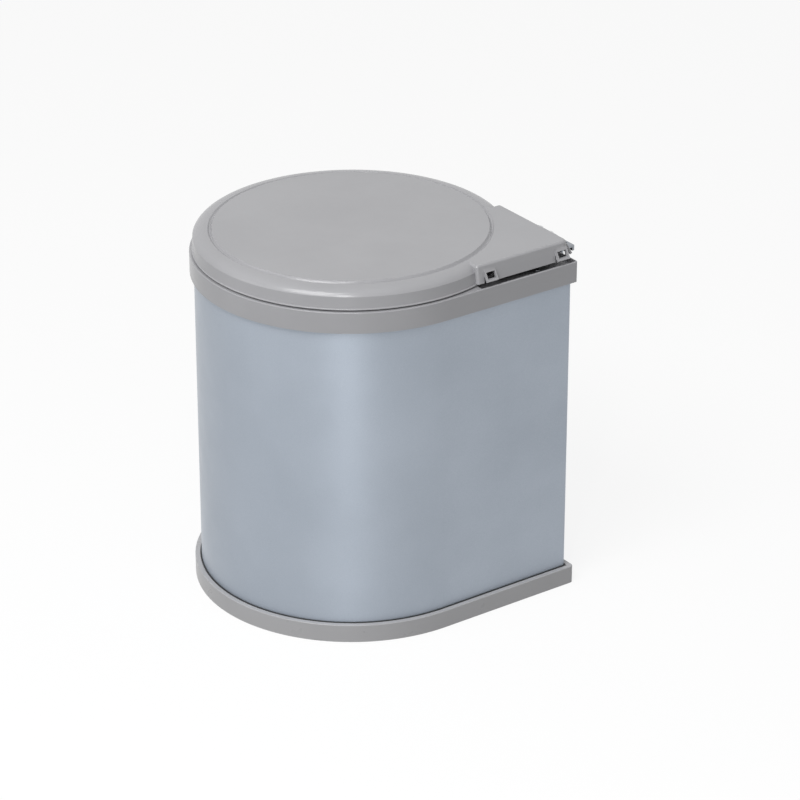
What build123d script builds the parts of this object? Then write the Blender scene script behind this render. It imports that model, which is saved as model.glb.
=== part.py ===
from build123d import *
import os
from math import cos, pi, radians, sin

os.makedirs("parts", exist_ok=True)

# A built-in cabinet bin: a round bin with one square corner that swings out on a vertical post in
# that corner, under a lid that stays on the wall bracket and is tipped up by a cam round the post.
# All sizes are in millimetres. The origin is on the axis of the round body, at the tray's underside.
# +Z is up, -Y faces the cabinet door, and +X faces the side wall that carries the bracket.

# Plan sizes: each outline is a circle of this radius with one square corner of the same half width
RIM_R = 132.5
RIM_CORNER_R = 2.5
SHELL_R = 129.0
SHELL_CORNER_R = 3.0
TRAY_R = 134.4
TRAY_CORNER_R = 4.0

# Heights above the tray's underside
TRAY_TOP = 15.5
RIM_TOP = 296.0
RIM_HEIGHT = 18.0
LEDGE_TOP = 275.5

# Walls
SHEET = 0.8
WALL = 2.0
LID_WALL = 2.2

# Swing pivot, inward from both flat sides of the rim
PIVOT_INSET = 26.0
PX = RIM_R - PIVOT_INSET
PY = -(RIM_R - PIVOT_INSET)
POST_R = 6.0
RUNNING_GAP = 0.05
PRESS_GAP = 0.02
BUSH_R = 9.0
FLAT_GAP = 0.2

# Lid
LID_R = 130.2
LID_BOTTOM = 297.0
LID_SKIRT_TOP = 308.2
LID_SKIRT_R = 128.6
LID_TOP = 314.0
LID_DOME = 316.4
GROOVE_R = 115.0
TAIL_HALF = 128.4
TAIL_TOP_HALF = 126.4
TAIL_START = 34.0
TAIL_BOTTOM = 298.7
TAIL_CORNER_R = 6.0
TAIL_STEP_R = 2.5

# Eyes: straps that lean out of the tail's flat sides, each with a window for a hook. Each is given
# by its two ends and its window's two ends, along the side from the round body's axis.
EYE_TOP = 309.8
EYE_FOOT = 300.6
EYE_OUT = 132.4
STRAP = 2.0
WINDOW_LOW = 302.0
WINDOW_HIGH = 307.4
EYES = ((40.8, 52.0, 42.2, 50.6), (112.2, 124.2, 113.8, 122.6))

# Bracket
PLATE_X = 147.0
STEEL = 2.0
ARM_LOW = RIM_TOP + 0.35
ARM_HIGH = ARM_LOW + STEEL
PLATE_FRONT_Y = -92.0
PLATE_REAR_Y = -44.0
PLATE_LOW = 196.0
HOLE_SPACING_Y = 32.0
HOLE_SPACING_Z = 64.0
HOLE_CENTRE = (-68.0, 244.0)
HOLE_R = 2.5

# Lid hinge and lift: the lid tips by LID_TILT while the bin swings by SWING
HINGE_X = 129.0
HINGE_Z = 304.7
SWING = 90.0
LID_TILT = 15.0
FOLLOWER_R = 14.0
FOLLOWER_ANGLE = -100.0
FOLLOWER_TIP = 296.9
CAM_IN_R = 11.5
CAM_OUT_R = 17.5
CAM_GAP = 0.5


def plan(r, corner):
    """Circle of radius r, squared off to one corner at +X -Y with that corner radius."""
    round_side = CenterArc((0, 0), r, 0, 270)
    near_side = Line((0, -r), (r - corner, -r))
    turn = CenterArc((r - corner, corner - r), corner, 270, 90)
    wall_side = Line((r, corner - r), (r, 0))
    return make_face([round_side, near_side, turn, wall_side])


def slab(r, corner, low, high):
    return Pos(0, 0, low) * extrude(plan(r, corner), high - low)


def plan_wall(r, corner, thickness, low, high):
    inside_corner = max(corner - thickness, 0.5)
    return slab(r, corner, low, high) - slab(r - thickness, inside_corner, low - 1, high + 1)


def disc(r, low, high, x=0.0, y=0.0):
    return Pos(x, y, (low + high) / 2) * Cylinder(r, high - low)


def ring(r_out, r_in, low, high, x=0.0, y=0.0):
    return disc(r_out, low, high, x, y) - disc(r_in, low - 1, high + 1, x, y)


def block(x0, x1, y0, y1, z0, z1):
    centre = Pos((x0 + x1) / 2, (y0 + y1) / 2, (z0 + z1) / 2)
    return centre * Box(x1 - x0, y1 - y0, z1 - z0)


def about_pivot(radius, angle):
    """Point at this radius and angle from the swing pivot."""
    return PX + radius * cos(radians(angle)), PY + radius * sin(radians(angle))


def mirrored(shape):
    """The same shape on the tail's other flat side, across the diagonal through the corner."""
    diagonal = Plane(origin=(0, 0, 0), x_dir=(1, -1, 0), z_dir=(1, 1, 0))
    return mirror(shape, about=diagonal)


def save(name, shape):
    shape.label = name
    export_step(shape, f"parts/{name}.step")


# Outer shell: sheet steel bent to the plan, foot folded inward, lock seam inside at the back

FOOT_Z = 6.3
FOOT_WIDTH = 6.0
SHELL_TOP = 289.5
SEAM_WIDTH = 7.0
SEAM_DEPTH = 1.5
SEAM_LAP = 0.2
SEAM_TOP = SHELL_TOP - 20.0
SEAM_ANGLE = 135.0
FOOT_SCREW_R = 125.8
FOOT_SCREW_ANGLES = [22.5 + 45 * step for step in range(6)]
FOOT_HOLE_R = 1.9


def foot_screw_places():
    return [
        (FOOT_SCREW_R * cos(radians(angle)), FOOT_SCREW_R * sin(radians(angle)))
        for angle in FOOT_SCREW_ANGLES
    ]


def make_outer_shell():
    shell = plan_wall(SHELL_R, SHELL_CORNER_R, SHEET, FOOT_Z, SHELL_TOP)
    shell += plan_wall(SHELL_R, SHELL_CORNER_R, FOOT_WIDTH, FOOT_Z, FOOT_Z + SHEET)
    seam_out = SHELL_R - SHEET + SEAM_LAP
    seam = block(seam_out - SEAM_DEPTH, seam_out,
                 -SEAM_WIDTH / 2, SEAM_WIDTH / 2, FOOT_Z + SHEET, SEAM_TOP)
    shell += Rot(0, 0, SEAM_ANGLE) * seam
    for x, y in foot_screw_places():
        shell -= disc(FOOT_HOLE_R, FOOT_Z - 1, FOOT_Z + 2, x, y)
    return shell


# Top rim: outer skirt over the shell, flat land, collar and ledge for the bucket, corner deck

RIM_LOW = RIM_TOP - RIM_HEIGHT
COLLAR_R = 125.5
MOUTH_R = 123.5
LEDGE_R = 117.5
LAND = 2.5
DECK_TOP = 292.5
DECK_SIDE = 36.0
RIM_EDGE_R = 0.8
RIM_INNER_CORNER_R = 1.0
COLLAR_TOP = RIM_TOP - 0.5
DECK_LAP = 0.5
DECK_PARAPET = 1.5
DECK_LIP = 1.3
RIM_BOSS_R = 12.0
RIM_BOSS_LOW = 272.0
BOSS_WEB = (13.0, 1.6, 10.5)
BOSS_WEB_OUT = 5.5
BOSS_WEB_DROP = 5.0
SCREW_HOLE_DEPTH = 4.0


def corner_field(low, high, outer_r, inner_r):
    """The part of the plan outside a circle, in the square corner only."""
    field = slab(outer_r, RIM_INNER_CORNER_R, low, high)
    field &= block(DECK_SIDE, TRAY_R + 5, -TRAY_R - 5, -DECK_SIDE, low, high)
    return field - disc(inner_r, low - 1, high + 1)


def make_top_rim():
    rim = slab(RIM_R, RIM_CORNER_R, RIM_LOW, RIM_TOP)
    top_edges = rim.edges().filter_by(lambda e: abs(e.center().Z - RIM_TOP) < 0.01)
    rim = fillet(top_edges, RIM_EDGE_R)
    rim -= slab(RIM_R - WALL, RIM_INNER_CORNER_R, RIM_LOW - 1, RIM_TOP - LAND)
    rim += disc(COLLAR_R, LEDGE_TOP - WALL, COLLAR_TOP)
    rim -= disc(MOUTH_R, LEDGE_TOP, RIM_TOP + 1)
    rim -= disc(LEDGE_R, LEDGE_TOP - WALL - 1, LEDGE_TOP + 1)
    rim -= corner_field(DECK_TOP, RIM_TOP + 1, RIM_R - DECK_LIP, COLLAR_R + DECK_PARAPET)
    rim += corner_field(DECK_TOP - LAND, DECK_TOP, RIM_R - WALL + DECK_LAP, COLLAR_R - DECK_LAP)
    rim += disc(RIM_BOSS_R, RIM_BOSS_LOW, DECK_TOP, PX, PY)
    for angle in (45, 135, 225, 315):
        x, y = about_pivot(RIM_BOSS_R + BOSS_WEB_OUT, angle)
        rim += Pos(x, y, DECK_TOP - LAND - BOSS_WEB_DROP) * Rot(0, 0, angle) * Box(*BOSS_WEB)
    rim -= disc(BUSH_R, RIM_BOSS_LOW - 1, RIM_TOP, PX, PY)
    for x, y in cam_screw_places():
        rim -= disc(CAM_SCREW_R, DECK_TOP - SCREW_HOLE_DEPTH, DECK_TOP + 1, x, y)
    return rim


# Base tray: wall round the shell's foot with a lip close to the shell, floor on ribs, boss and nut
# pocket for the pivot

FLOOR_LOW = 3.8
FLOOR_TOP = 6.2
TRAY_POCKET_R = 14.0
TRAY_POCKET_TOP = 12.0
TRAY_BOSS_TOP = 28.0
HUB_R = 18.0
RIB = 2.0
RIB_COUNT = 8
RIB_RING_R = 70.0
TRAY_EDGE_R = 0.6
TRAY_LIP_IN_R = 130.0
TRAY_LIP = 2.0
TRAY_LAP = 0.5


def make_base_tray():
    tray = plan_wall(TRAY_R, TRAY_CORNER_R, WALL, 0, TRAY_TOP)
    tray += plan_wall(TRAY_R, TRAY_CORNER_R, TRAY_R - TRAY_LIP_IN_R, TRAY_TOP - TRAY_LIP, TRAY_TOP)
    top_edges = tray.edges().filter_by(lambda e: abs(e.center().Z - TRAY_TOP) < 0.01)
    tray = fillet(top_edges, TRAY_EDGE_R)
    tray += slab(TRAY_R - WALL + TRAY_LAP, TRAY_CORNER_R - WALL, FLOOR_LOW, FLOOR_TOP)
    tray += disc(HUB_R, 0, FLOOR_LOW)
    tray += ring(RIB_RING_R + RIB / 2, RIB_RING_R - RIB / 2, 0, FLOOR_LOW)
    ribs = [
        Rot(0, 0, 360 / RIB_COUNT * step)
        * block(HUB_R - TRAY_LAP, TRAY_R - TRAY_LAP, -RIB / 2, RIB / 2, 0, FLOOR_LOW)
        for step in range(RIB_COUNT)
    ]
    tray += ribs
    tray += disc(TRAY_POCKET_R + WALL, 0, TRAY_POCKET_TOP + WALL, PX, PY)
    tray += disc(RIM_BOSS_R, 0, TRAY_BOSS_TOP, PX, PY)
    tray -= disc(TRAY_POCKET_R, -1, TRAY_POCKET_TOP, PX, PY)
    tray -= disc(BUSH_R, 0, TRAY_BOSS_TOP + 1, PX, PY)
    for x, y in foot_screw_places():
        tray -= disc(FOOT_HOLE_R + 0.3, -1, FLOOR_TOP + 1, x, y)
    return tray


FOOT_HEAD_R = 3.6
FOOT_HEAD_LOW = FLOOR_LOW - 2.2
FOOT_HEAD_ROUND = 0.9
FOOT_SHANK_TOP = FOOT_Z + 5.0
CROSS_LENGTH = 4.4
CROSS_WIDTH = 0.9
CROSS_DEPTH = 1.8


def make_base_screws():
    screws = []
    for x, y in foot_screw_places():
        head = disc(FOOT_HEAD_R, FOOT_HEAD_LOW, FLOOR_LOW, x, y)
        head = fillet(head.edges().group_by(Axis.Z)[0], FOOT_HEAD_ROUND)
        head -= Pos(x, y, FOOT_HEAD_LOW) * Box(CROSS_LENGTH, CROSS_WIDTH, CROSS_DEPTH)
        head -= Pos(x, y, FOOT_HEAD_LOW) * Box(CROSS_WIDTH, CROSS_LENGTH, CROSS_DEPTH)
        shank = disc(FOOT_HOLE_R - RUNNING_GAP, FLOOR_LOW - 0.1, FOOT_SHANK_TOP, x, y)
        screws.append(head + shank)
    return Compound(children=screws)


# Swing pivot: post, washer and nut on the bracket; bushes and sleeve in the bin

POST_SHOULDER = 10.3
THREAD_R = 4.0
WASHER_LOW = 9.0
WASHER_R = 12.0
NUT_LOW = 2.6
NUT_FLATS = 13.0
POST_END = 1.4
POST_HEAD_R = 8.0
POST_HEAD_TOP = ARM_HIGH + 2.2
POST_HEAD_ROUND = 1.6
POST_NECK_R = 5.0
THREAD_CHAMFER = 0.6
NUT_CROWN = 3.4
NUT_CROWN_INSET = 0.2


def make_pivot_post():
    post = disc(POST_R, POST_SHOULDER, ARM_LOW, PX, PY)
    thread = disc(THREAD_R, POST_END, POST_SHOULDER, PX, PY)
    thread = chamfer(thread.edges().group_by(Axis.Z)[0], THREAD_CHAMFER)
    head = disc(POST_HEAD_R, ARM_HIGH, POST_HEAD_TOP, PX, PY)
    head = fillet(head.edges().group_by(Axis.Z)[-1], POST_HEAD_ROUND)
    neck = disc(POST_NECK_R, ARM_LOW, ARM_HIGH, PX, PY)
    return post + thread + neck + head


def make_post_washer():
    return ring(WASHER_R, THREAD_R + RUNNING_GAP, WASHER_LOW, POST_SHOULDER, PX, PY)


def make_post_nut():
    hexagon = RegularPolygon(NUT_FLATS / 2, 6, major_radius=False)
    nut = Pos(PX, PY, NUT_LOW) * extrude(hexagon, WASHER_LOW - NUT_LOW)
    crown_low_r = NUT_FLATS / 2 - NUT_CROWN_INSET
    crown = Pos(PX, PY, NUT_LOW) * Cone(crown_low_r, crown_low_r + NUT_CROWN, NUT_CROWN,
                                        align=(Align.CENTER, Align.CENTER, Align.MIN))
    crown += disc(NUT_FLATS, NUT_LOW + NUT_CROWN, WASHER_LOW, PX, PY)
    nut &= crown
    return nut - disc(THREAD_R + PRESS_GAP, NUT_LOW - 1, WASHER_LOW + 1, PX, PY)


BUSH_FLANGE_R = 11.2
BUSH_FLANGE = 1.5
SLEEVE_OUT = BUSH_R + 0.5
SLEEVE_IN = POST_R + 1.0


def make_upper_bush():
    bush = disc(BUSH_R - PRESS_GAP, RIM_BOSS_LOW, DECK_TOP, PX, PY)
    bush += disc(BUSH_FLANGE_R, DECK_TOP, DECK_TOP + BUSH_FLANGE, PX, PY)
    return bush - disc(POST_R + RUNNING_GAP, RIM_BOSS_LOW - 1, RIM_TOP + 1, PX, PY)


def make_lower_bush():
    flange_low = POST_SHOULDER + FLAT_GAP
    bush = disc(BUSH_R - PRESS_GAP, TRAY_POCKET_TOP, TRAY_BOSS_TOP, PX, PY)
    bush += disc(BUSH_FLANGE_R, flange_low, TRAY_POCKET_TOP, PX, PY)
    return bush - disc(POST_R + RUNNING_GAP, flange_low - 1, TRAY_BOSS_TOP + 1, PX, PY)


def make_pivot_sleeve():
    return ring(SLEEVE_OUT, SLEEVE_IN, TRAY_BOSS_TOP, RIM_BOSS_LOW, PX, PY)


# Lid lift cam: a helical ramp on a flange that is screwed to the rim's corner deck

CAM_FLANGE = 1.6
CAM_FLANGE_R = 24.0
CAM_SCREW_R = 1.5
CAM_SCREW_PLACE_R = 21.0
CAM_SCREW_ANGLES = (-120.0, -170.0)
LEVER = HINGE_X - about_pivot(FOLLOWER_R, FOLLOWER_ANGLE)[0]
TIP_DROP = HINGE_Z - FOLLOWER_TIP
TILT = radians(LID_TILT)
FOLLOWER_RISE = LEVER * sin(TILT) + TIP_DROP * (1 - cos(TILT))
CAM_LOW = FOLLOWER_TIP - CAM_GAP
CAM_LEAD_ANGLE = 5.4
CAM_LANDING = 9.0
CAM_STEPS = 8
CAM_BORE_R = CAM_IN_R + 0.1
CAM_SCREW_LENGTH = 5.0
CAM_HEAD_R = 2.6
CAM_HEAD_HEIGHT = 1.4


def cam_screw_places():
    return [about_pivot(CAM_SCREW_PLACE_R, angle) for angle in CAM_SCREW_ANGLES]


def cam_section(angle, top):
    """Upright cross-section of the ramp at this angle round the pivot."""
    across = Plane(origin=(PX, PY, 0), x_dir=(cos(radians(angle)), sin(radians(angle)), 0),
                   z_dir=(sin(radians(angle)), -cos(radians(angle)), 0))
    height = top - DECK_TOP
    outline = Rectangle(CAM_OUT_R - CAM_IN_R, height, align=(Align.MIN, Align.MIN))
    return across * Pos(CAM_IN_R, DECK_TOP) * outline


def sector(r_out, r_in, low, high, start, sweep):
    """Annular sector round the pivot."""
    outer = CenterArc((PX, PY), r_out, start, sweep)
    inner = CenterArc((PX, PY), r_in, start, sweep)
    face = make_face([outer, Line(outer @ 0, inner @ 0), inner, Line(outer @ 1, inner @ 1)])
    return Pos(0, 0, low) * extrude(face, high - low)


def make_lid_lift_cam():
    sweep_angle = SWING + CAM_LEAD_ANGLE
    shares = [step / CAM_STEPS for step in range(CAM_STEPS + 1)]
    sections = [
        cam_section(FOLLOWER_ANGLE - sweep_angle * share, CAM_LOW + FOLLOWER_RISE * share)
        for share in shares
    ]
    ramp = loft(sections, ruled=True)
    ramp &= ring(CAM_OUT_R, CAM_BORE_R, DECK_TOP, LID_TOP, PX, PY)
    low_end = sector(CAM_OUT_R, CAM_BORE_R, DECK_TOP, CAM_LOW, FOLLOWER_ANGLE, CAM_LANDING)
    high_angle = FOLLOWER_ANGLE - sweep_angle
    high_end = sector(CAM_OUT_R, CAM_BORE_R, DECK_TOP, CAM_LOW + FOLLOWER_RISE,
                      high_angle - CAM_LANDING, CAM_LANDING)
    flange = sector(CAM_FLANGE_R, CAM_BORE_R, DECK_TOP, DECK_TOP + CAM_FLANGE,
                    high_angle - CAM_LANDING, sweep_angle + 2 * CAM_LANDING)
    cam = ramp + low_end + high_end + flange
    for x, y in cam_screw_places():
        cam -= disc(CAM_SCREW_R + 0.1, DECK_TOP - 1, DECK_TOP + CAM_FLANGE + 1, x, y)
    return cam


SLOT_WIDTH = 0.6
SLOT_REACH = 1.3
HEAD_ROUND = 0.45


def small_screw(x, y, seat, upward, length, shank_r, head_r, head_h):
    """Round-headed screw with its head's seat at this height; upward screws point up."""
    way = 1 if upward else -1
    head = disc(head_r, min(seat, seat - way * head_h), max(seat, seat - way * head_h), x, y)
    rim_edges = head.edges().group_by(Axis.Z)[0 if upward else -1]
    head = fillet(rim_edges, head_h * HEAD_ROUND)
    slot_z = seat - way * head_h
    head -= Pos(x, y, slot_z) * Box(head_r * SLOT_REACH, SLOT_WIDTH, head_h)
    head -= Pos(x, y, slot_z) * Box(SLOT_WIDTH, head_r * SLOT_REACH, head_h)
    end = seat + way * length
    return head + disc(shank_r, min(seat, end), max(seat, end), x, y)


def make_cam_screws():
    seat = DECK_TOP + CAM_FLANGE
    screws = [
        small_screw(x, y, seat, False, CAM_SCREW_LENGTH, CAM_SCREW_R - RUNNING_GAP,
                    CAM_HEAD_R, CAM_HEAD_HEIGHT)
        for x, y in cam_screw_places()
    ]
    return Compound(children=screws)


# Wall bracket: one bent sheet, wall plate down and arm in under the lid's tail

ARM_HUB_R = 11.0
ARM_FRONT_Y = PY + 1.0
ARM_REAR_Y = -57.5
ARM_NECK_X = 133.5
RETURN_DEPTH = 7.0
RETURN_TOP = ARM_LOW - 4.0
RETURN_LOW = PLATE_LOW + 8.0
PLATE_FOOT_R = 6.0
BEND_OUT_R = 3.0
BEND_IN_R = 1.2


def make_bracket_plate():
    outer_x = PLATE_X + STEEL
    arm_outline = Polyline(
        (outer_x, PLATE_FRONT_Y), (ARM_NECK_X + 4, PLATE_FRONT_Y), (ARM_NECK_X - 8, ARM_FRONT_Y),
        (PX, ARM_FRONT_Y), (PX - 4, PY + 7), (ARM_NECK_X - 16, ARM_REAR_Y - 6),
        (ARM_NECK_X - 8, ARM_REAR_Y), (ARM_NECK_X + 4, ARM_REAR_Y), (ARM_NECK_X + 4, PLATE_REAR_Y),
        (outer_x, PLATE_REAR_Y), close=True)
    arm = Pos(0, 0, ARM_LOW) * extrude(make_face(arm_outline), STEEL)
    arm += disc(ARM_HUB_R, ARM_LOW, ARM_HIGH, PX, PY)
    plate = block(PLATE_X, outer_x, PLATE_FRONT_Y, PLATE_REAR_Y, PLATE_LOW, ARM_HIGH)
    foot_edges = plate.edges().filter_by(Axis.X).group_by(Axis.Z)[0]
    plate = fillet(foot_edges, PLATE_FOOT_R)
    sheet = arm + plate
    bend = sheet.edges().filter_by(Axis.Y)
    outer_bend = bend.filter_by(
        lambda e: e.center().Z > ARM_HIGH - 0.01 and e.center().X > outer_x - 0.01)
    sheet = fillet(outer_bend, BEND_OUT_R)
    inner_bend = sheet.edges().filter_by(Axis.Y).filter_by(
        lambda e: abs(e.center().Z - ARM_LOW) < 0.01 and abs(e.center().X - PLATE_X) < 0.01)
    sheet = fillet(inner_bend, BEND_IN_R)
    sheet += block(PLATE_X - RETURN_DEPTH, PLATE_X + STEEL / 4, PLATE_REAR_Y - STEEL, PLATE_REAR_Y,
                   RETURN_LOW, RETURN_TOP)
    for y_side in (-1, 1):
        for z_side in (-1, 1):
            y = HOLE_CENTRE[0] + y_side * HOLE_SPACING_Y / 2
            z = HOLE_CENTRE[1] + z_side * HOLE_SPACING_Z / 2
            sheet -= Pos(PLATE_X + 1, y, z) * Rot(0, 90, 0) * Cylinder(HOLE_R, 3 * STEEL)
    sheet -= disc(POST_NECK_R, ARM_LOW - 1, ARM_HIGH + 1, PX, PY)
    for x, y in RIVET_PLACES:
        sheet -= disc(RIVET_R, ARM_LOW - 1, ARM_HIGH + 1, x, y)
    return sheet


# Lid hinge rail: a foot on the arm, an upright and two hooks through two eyes of the lid, each with a
# round knuckle on the hinge axis that the eye turns about

RAIL_IN = 134.6
RAIL_OUT = RAIL_IN + STEEL
RAIL_FRONT = -90.0
RAIL_REAR = -60.0
RAIL_TOP = HINGE_Z + 1.0
FINGER_LOW = 300.8
HOOK_SIDE_GAP = 0.9
HOOK_TIP_X = 122.6
HOOK_HALF = STEEL / 2
HOOK_TIP = 1.5
HOOK_TIP_TOP = HINGE_Z + 2.6
KNUCKLE_R = 2.0
RAIL_FOOT_X = 145.5
RAIL_FOOT_INSET = 2.0
RIVET_HEAD_R = 3.8
RIVET_HEAD_HEIGHT = 1.4
RIVET_HEAD_ROUND = 1.0
RIVET_R = 2.0
RIVET_PLACES = ((141.5, -82.0), (141.5, -68.0))


def make_lid_hinge_rail():
    rail = block(RAIL_IN, RAIL_OUT, RAIL_FRONT, RAIL_REAR, ARM_HIGH, RAIL_TOP)
    rail += block(RAIL_IN, RAIL_FOOT_X, RAIL_FRONT + RAIL_FOOT_INSET, RAIL_REAR - RAIL_FOOT_INSET,
                  ARM_HIGH, ARM_HIGH + STEEL)
    front_end = -EYES[1][3] + HOOK_SIDE_GAP
    rear_end = -EYES[0][2] - HOOK_SIDE_GAP
    rail += block(RAIL_IN, RAIL_OUT, front_end, rear_end, FINGER_LOW, RAIL_TOP)
    for eye in EYES:
        y0 = -eye[3] + HOOK_SIDE_GAP
        y1 = -eye[2] - HOOK_SIDE_GAP
        rail += block(HOOK_TIP_X, RAIL_OUT, y0, y1, HINGE_Z - HOOK_HALF, HINGE_Z + HOOK_HALF)
        rail += block(HOOK_TIP_X, HOOK_TIP_X + HOOK_TIP, y0, y1, HINGE_Z - HOOK_HALF, HOOK_TIP_TOP)
        knuckle = Rot(90, 0, 0) * Cylinder(KNUCKLE_R, y1 - y0)
        rail += Pos(HINGE_X, (y0 + y1) / 2, HINGE_Z) * knuckle
    for x, y in RIVET_PLACES:
        rail -= disc(RIVET_R, ARM_HIGH - 1, ARM_HIGH + STEEL + 1, x, y)
    return rail


def make_rail_rivets():
    rivets = []
    for x, y in RIVET_PLACES:
        seat = ARM_HIGH + STEEL
        head = disc(RIVET_HEAD_R, seat, seat + RIVET_HEAD_HEIGHT, x, y)
        head = fillet(head.edges().group_by(Axis.Z)[-1], RIVET_HEAD_ROUND)
        rivets.append(head + disc(RIVET_R, ARM_LOW, ARM_HIGH + STEEL, x, y))
    return Compound(children=rivets)


# Inner bucket with its wire bail

BUCKET_LOW = 11.0
BUCKET_FOOT_R = 104.0
BUCKET_TOP_R = 115.2
BUCKET_WALL = 1.8
BUCKET_FLOOR = BUCKET_LOW + 2.5
FOOT_RING_IN_R = BUCKET_FOOT_R - 10.0
FOOT_RING_OUT_R = BUCKET_FOOT_R - 3.0
FOOT_CHAMFER = 4.0
FOOT_RING_TOP = BUCKET_LOW + 2 * BUCKET_WALL
FLANGE_R = 122.3
FLANGE_LOW = LEDGE_TOP + 0.1
FLANGE_TOP = FLANGE_LOW + 2.0
BAIL_Z = 282.6
BAIL_R = 113.8
BAIL_WIRE_R = 2.0
BAIL_LEAD = 5.0
BAIL_TIP = 1.2
BAIL_BEND = 3.0
EAR_X0 = 118.0
EAR_X1 = 121.0
EAR_HALF = 5.5
EAR_ROUND = 4.0
EAR_TOP = 287.2
EAR_HOLE_DEPTH = 12.0
GRIP_R = 4.8
GRIP_HALF_ANGLE = 22.0


def make_waste_bucket():
    outline = Polyline(
        (0, BUCKET_FLOOR), (FOOT_RING_IN_R - 2, BUCKET_FLOOR), (FOOT_RING_IN_R, BUCKET_LOW),
        (FOOT_RING_OUT_R, BUCKET_LOW), (BUCKET_FOOT_R, BUCKET_LOW + FOOT_CHAMFER),
        (BUCKET_TOP_R, FLANGE_LOW), (FLANGE_R, FLANGE_LOW), (FLANGE_R, FLANGE_TOP),
        (BUCKET_TOP_R - BUCKET_WALL, FLANGE_TOP),
        (BUCKET_FOOT_R - BUCKET_WALL, BUCKET_LOW + FOOT_CHAMFER + 1),
        (FOOT_RING_OUT_R - 1, FOOT_RING_TOP), (FOOT_RING_IN_R + 1, FOOT_RING_TOP),
        (FOOT_RING_IN_R - 1, BUCKET_FLOOR + BUCKET_WALL), (0, BUCKET_FLOOR + BUCKET_WALL), close=True)
    bucket = revolve(Plane.XZ * make_face(outline), Axis.Z)
    for side in (-1, 1):
        x0 = min(side * EAR_X0, side * EAR_X1)
        ear = block(x0, x0 + EAR_X1 - EAR_X0, -EAR_HALF, EAR_HALF, FLANGE_TOP - 0.5, EAR_TOP)
        ear = fillet(ear.edges().filter_by(Axis.X).group_by(Axis.Z)[-1], EAR_ROUND)
        bucket += ear
        hole = Rot(0, 90, 0) * Cylinder(BAIL_WIRE_R + 0.1, EAR_HOLE_DEPTH)
        bucket -= Pos(side * EAR_X0, 0, BAIL_Z) * hole
    return bucket


def make_bail_wire():
    lead = radians(BAIL_LEAD)
    bow = CenterArc((0, 0), BAIL_R, BAIL_LEAD, 180 - 2 * BAIL_LEAD)
    corner_x = BAIL_R / cos(lead)
    tip_x = EAR_X1 + BAIL_TIP
    right = FilletPolyline((tip_x, 0), (corner_x, 0), bow @ 0, radius=BAIL_BEND)
    left = FilletPolyline(bow @ 1, (-corner_x, 0), (-tip_x, 0), radius=BAIL_BEND)
    path = Wire([*right.edges(), *bow.edges(), *left.edges()])
    mouth = Plane(origin=(tip_x, 0, 0), z_dir=(-1, 0, 0))
    return Pos(0, 0, BAIL_Z) * sweep(mouth * Circle(BAIL_WIRE_R), path=path)


def make_bail_grip():
    low = 90 - GRIP_HALF_ANGLE
    path = Wire([Edge.make_circle(BAIL_R, start_angle=low, end_angle=low + 2 * GRIP_HALF_ANGLE)])
    at = radians(low)
    section = Plane(origin=(BAIL_R * cos(at), BAIL_R * sin(at), 0), z_dir=(-sin(at), cos(at), 0))
    tube = Circle(GRIP_R) - Circle(BAIL_WIRE_R)
    grip = sweep(section * tube, path=path)
    return Pos(0, 0, BAIL_Z) * grip


# Lid: a revolved cover with a bead at its foot, a rounded shoulder and a soft groove round the raised
# panel, a square tail with leaning sides and four eyes

BEAD_PROUD = 0.4
BEAD_HEIGHT = 1.5
SHOULDER_MID = (123.5, 312.5)
GROOVE_OUT = 2.0
GROOVE_IN = 1.6
GROOVE_DEPTH = 0.7
PANEL_STEP = 0.5
DOME_MID_R = 60.0
CEILING = LID_TOP - LID_WALL
CEILING_SAG = 0.5
SKIRT_ROOT = 8.0
TAIL_EDGE_R = 2.0
TAIL_INNER_STEP_R = 1.0
RIB_OFFSETS = (60.0, 88.0)
RIB_THICKNESS = 1.6
RIB_LOW = 307.0
RIB_REACH = 20.0


def lid_round():
    foot = ThreePointArc((LID_R, LID_BOTTOM), (LID_R + BEAD_PROUD, LID_BOTTOM + BEAD_HEIGHT / 2),
                         (LID_R - BEAD_PROUD / 2, LID_BOTTOM + BEAD_HEIGHT))
    skirt = Line(foot @ 1, (LID_SKIRT_R, LID_SKIRT_TOP))
    groove_outside = (GROOVE_R + GROOVE_OUT, LID_TOP)
    panel_edge = (GROOVE_R - GROOVE_IN, LID_TOP + PANEL_STEP)
    shoulder = ThreePointArc(skirt @ 1, SHOULDER_MID, groove_outside)
    groove = ThreePointArc(groove_outside, (GROOVE_R, LID_TOP - GROOVE_DEPTH), panel_edge)
    rise = LID_DOME - panel_edge[1]
    dome_r = (panel_edge[0] ** 2 + rise ** 2) / (2 * rise)
    dome_mid = dome_r - (dome_r ** 2 - DOME_MID_R ** 2) ** 0.5
    dome = ThreePointArc(panel_edge, (DOME_MID_R, LID_DOME - dome_mid), (0, LID_DOME))
    inside = Polyline((0, LID_DOME), (0, LID_DOME - LID_WALL), (GROOVE_R, CEILING - CEILING_SAG),
                      (LID_R - SKIRT_ROOT, CEILING - CEILING_SAG),
                      (LID_SKIRT_R - LID_WALL, LID_SKIRT_TOP - 1),
                      (LID_R - LID_WALL, LID_BOTTOM), (LID_R, LID_BOTTOM))
    outline = make_face([foot, skirt, shoulder, groove, dome, inside])
    return revolve(Plane.XZ * outline, Axis.Z)


def tail_half(height):
    """Half width of the tail at this height: its flat sides lean inward."""
    share = (height - TAIL_BOTTOM) / (LID_TOP - TAIL_BOTTOM)
    return TAIL_HALF + (TAIL_TOP_HALF - TAIL_HALF) * share


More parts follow.
